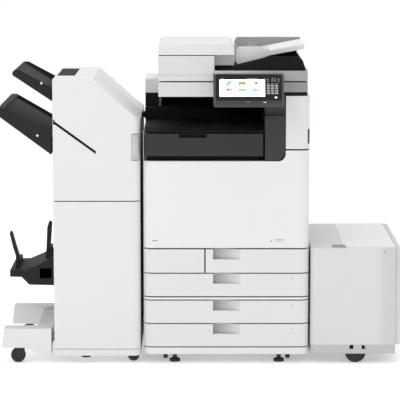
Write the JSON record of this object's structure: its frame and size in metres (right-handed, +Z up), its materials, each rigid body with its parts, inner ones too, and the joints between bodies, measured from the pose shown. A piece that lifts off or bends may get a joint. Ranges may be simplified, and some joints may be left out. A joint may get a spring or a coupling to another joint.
{
  "type": "photocopier",
  "caption": "Floor-standing multifunction copier with finisher, document feeder, tilting panel, paper drawers and side paper deck.",
  "frame": {"origin": "centre of the bounding box on the floor", "axes": "+X to the viewer's right, +Y to the back, +Z up; the front faces -Y"},
  "size_m": [1.508, 0.7574, 1.201],
  "materials": {
    "metal": "galvanised sheet",
    "white": "fine grain, off white",
    "cool_white": "fine grain, cool white",
    "light_gray": "fine grain, light gray",
    "dark": "fine grain, charcoal",
    "taupe": "satin, warm dark gray",
    "black": "matt black",
    "glass": "clear float glass",
    "screen": "glossy touch panel",
    "rubber": "matt rubber",
    "toner": "satin",
    "key": "gloss"
  },
  "bodies": {
    "chassis": {"booklet_tray": "dark", "buffer_pass": "black", "cavity_liner": "black", "deck_base": "cool_white", "deck_shell": "cool_white", "deck_top_cover": "cool_white", "finisher_foot": "white", "finisher_frame": "metal", "finisher_shell": "white", "finisher_top_cover": "white", "fuser_unit": "metal", "imaging_unit": "dark", "main_frame": "metal", "pedestal_feet": "rubber", "pillar_trim": "taupe", "rear_cover": "white", "scan_glass": "glass", "scanner_top": "white", "scanner_tub": "white", "side_covers": "white", "toner_cartridges": "toner", "tower_cover": "white", "trim_bands": "white", "waste_toner_bottle": "light_gray"},
    "front_door": {"front_door": "white"},
    "toner_door": {"toner_door": "dark"},
    "waste_toner_cover": {"waste_toner_cover": "white"},
    "right_door": {"right_door": "white"},
    "bypass_tray": {"bypass_tray": "light_gray"},
    "scan_carriage": {"scan_carriage": "dark"},
    "adf": {"adf_base": "white", "adf_feeder": "white", "adf_output_tray": "black"},
    "adf_top_cover": {"adf_top_cover": "white"},
    "document_tray": {"document_tray": "light_gray"},
    "guide_front": {"document_guide_front": "light_gray"},
    "guide_rear": {"document_guide_rear": "light_gray"},
    "control_panel": {"control_panel": "dark", "touch_screen": "screen"},
    "start_key": {"start_key": "key"},
    "finisher_upper_door": {"finisher_upper_door": "white"},
    "finisher_lower_door": {"finisher_lower_door": "white"},
    "upper_stack_tray": {"upper_stack_tray": "dark"},
    "lower_stack_tray": {"lower_stack_tray": "dark"},
    "paddle_outer": {"booklet_paddle_outer": "dark"},
    "paddle_inner": {"booklet_paddle_inner": "dark"},
    "deck_drawer": {"deck_drawer": "cool_white"},
    "deck_wheels": {"deck_wheels": "rubber"},
    "caster_fork_front": {"caster_fork_front": "dark"},
    "caster_wheel_front": {"caster_wheel_front": "rubber"},
    "caster_fork_rear": {"caster_fork_rear": "dark"},
    "caster_wheel_rear": {"caster_wheel_rear": "rubber"},
    "drawer_1": {"drawer_1_front": "white", "drawer_1_tray": "metal"},
    "drawer_2": {"drawer_2_front": "white", "drawer_2_tray": "metal"},
    "drawer_3": {"drawer_3_front": "white", "drawer_3_tray": "metal"},
    "drawer_4": {"drawer_4_front": "white", "drawer_4_tray": "metal"}
  },
  "joints": [
    {"name": "front_door_hinge", "type": "hinge", "parent": "chassis", "child": "front_door", "pos_m": [0.098, -0.25231, 0.447], "axis": [1, 0, 0], "range_deg": [0, 85]},
    {"name": "toner_door_hinge", "type": "hinge", "parent": "chassis", "child": "toner_door", "pos_m": [0, -0.25131, 0.792], "axis": [1, 0, 0], "range_deg": [0, 75]},
    {"name": "waste_toner_cover_hinge", "type": "hinge", "parent": "chassis", "child": "waste_toner_cover", "pos_m": [-0.198, -0.24131, 0.3465], "axis": [0, 0, -1], "range_deg": [0, 90]},
    {"name": "right_door_hinge", "type": "hinge", "parent": "chassis", "child": "right_door", "pos_m": [0.4015, 0.29269, 0.44], "axis": [0, 0, 1], "range_deg": [0, 85]},
    {"name": "bypass_tray_hinge", "type": "hinge", "parent": "right_door", "child": "bypass_tray", "pos_m": [0.403, 0.04869, 0.478], "axis": [0, 1, 0], "range_deg": [0, 70]},
    {"name": "scan_carriage_slide", "type": "slide", "parent": "chassis", "child": "scan_carriage", "axis": [1, 0, 0], "range_m": [0, 0.44]},
    {"name": "adf_hinge", "type": "hinge", "parent": "chassis", "child": "adf", "pos_m": [-0.04, 0.29169, 1.0705], "axis": [-1, 0, 0], "range_deg": [0, 70]},
    {"name": "adf_top_cover_hinge", "type": "hinge", "parent": "adf", "child": "adf_top_cover", "pos_m": [-0.1493, -0.20131, 1.1645], "axis": [0, -1, 0], "range_deg": [0, 65]},
    {"name": "document_tray_hinge", "type": "hinge", "parent": "adf", "child": "document_tray", "pos_m": [0.14, -0.20131, 1.1665], "axis": [0, -1, 0], "range_deg": [0, 25]},
    {"name": "guide_front_slide", "type": "slide", "parent": "document_tray", "child": "guide_front", "axis": [0, 1, 0], "range_m": [-0.05, 0.06]},
    {"name": "guide_rear_slide", "type": "slide", "parent": "document_tray", "child": "guide_rear", "axis": [0, 1, 0], "range_m": [-0.06, 0.05]},
    {"name": "control_panel_tilt", "type": "hinge", "parent": "chassis", "child": "control_panel", "pos_m": [0.108, -0.30731, 1.0249], "axis": [1, 0, 0], "range_deg": [0, 30]},
    {"name": "start_key_press", "type": "slide", "parent": "control_panel", "child": "start_key", "axis": [0, 0.695, -0.719], "range_m": [0, 0.001], "stiffness_N_per_m": 600},
    {"name": "finisher_upper_door_hinge", "type": "hinge", "parent": "chassis", "child": "finisher_upper_door", "pos_m": [-0.538, -0.25231, 0.9], "axis": [0, 0, -1], "range_deg": [0, 100]},
    {"name": "finisher_lower_door_hinge", "type": "hinge", "parent": "chassis", "child": "finisher_lower_door", "pos_m": [-0.538, -0.25231, 0.3], "axis": [0, 0, -1], "range_deg": [0, 100]},
    {"name": "upper_stack_tray_lift", "type": "slide", "parent": "chassis", "child": "upper_stack_tray", "axis": [0, 0, 1], "range_m": [-0.05, 0]},
    {"name": "lower_stack_tray_lift", "type": "slide", "parent": "chassis", "child": "lower_stack_tray", "axis": [0, 0, 1], "range_m": [-0.2, 0]},
    {"name": "paddle_outer_hinge", "type": "hinge", "parent": "chassis", "child": "paddle_outer", "pos_m": [-0.702, -0.02131, 0.341], "axis": [0, -1, 0], "range_deg": [0, 35]},
    {"name": "paddle_inner_hinge", "type": "hinge", "parent": "chassis", "child": "paddle_inner", "pos_m": [-0.585, -0.02131, 0.384], "axis": [0, -1, 0], "range_deg": [0, 25]},
    {"name": "deck_drawer_slide", "type": "slide", "parent": "chassis", "child": "deck_drawer", "axis": [1, 0, 0], "range_m": [0, 0.28]},
    {"name": "deck_wheels_spin", "type": "hinge", "parent": "chassis", "child": "deck_wheels", "pos_m": [0.586, -0.22631, 0.0395], "axis": [0, 1, 0], "continuous": true},
    {"name": "drawer_1_slide", "type": "slide", "parent": "chassis", "child": "drawer_1", "axis": [0, -1, 0], "range_m": [0, 0.45]},
    {"name": "drawer_2_slide", "type": "slide", "parent": "chassis", "child": "drawer_2", "axis": [0, -1, 0], "range_m": [0, 0.45]},
    {"name": "drawer_3_slide", "type": "slide", "parent": "chassis", "child": "drawer_3", "axis": [0, -1, 0], "range_m": [0, 0.45]},
    {"name": "drawer_4_slide", "type": "slide", "parent": "chassis", "child": "drawer_4", "axis": [0, -1, 0], "range_m": [0, 0.45]},
    {"name": "caster_swivel_front", "type": "hinge", "parent": "chassis", "child": "caster_fork_front", "pos_m": [-0.672, -0.22731, 0.06], "axis": [0, 0, 1], "continuous": true},
    {"name": "caster_wheel_spin_front", "type": "hinge", "parent": "caster_fork_front", "child": "caster_wheel_front", "pos_m": [-0.686, -0.22731, 0.0275], "axis": [0, 1, 0], "continuous": true},
    {"name": "caster_swivel_rear", "type": "hinge", "parent": "chassis", "child": "caster_fork_rear", "pos_m": [-0.672, 0.22269, 0.06], "axis": [0, 0, 1], "continuous": true},
    {"name": "caster_wheel_spin_rear", "type": "hinge", "parent": "caster_fork_rear", "child": "caster_wheel_rear", "pos_m": [-0.686, 0.22269, 0.0275], "axis": [0, 1, 0], "continuous": true}
  ],
  "couplings": [
    {"joint": "guide_rear_slide", "follows": "guide_front_slide", "ratio": -1}
  ]
}
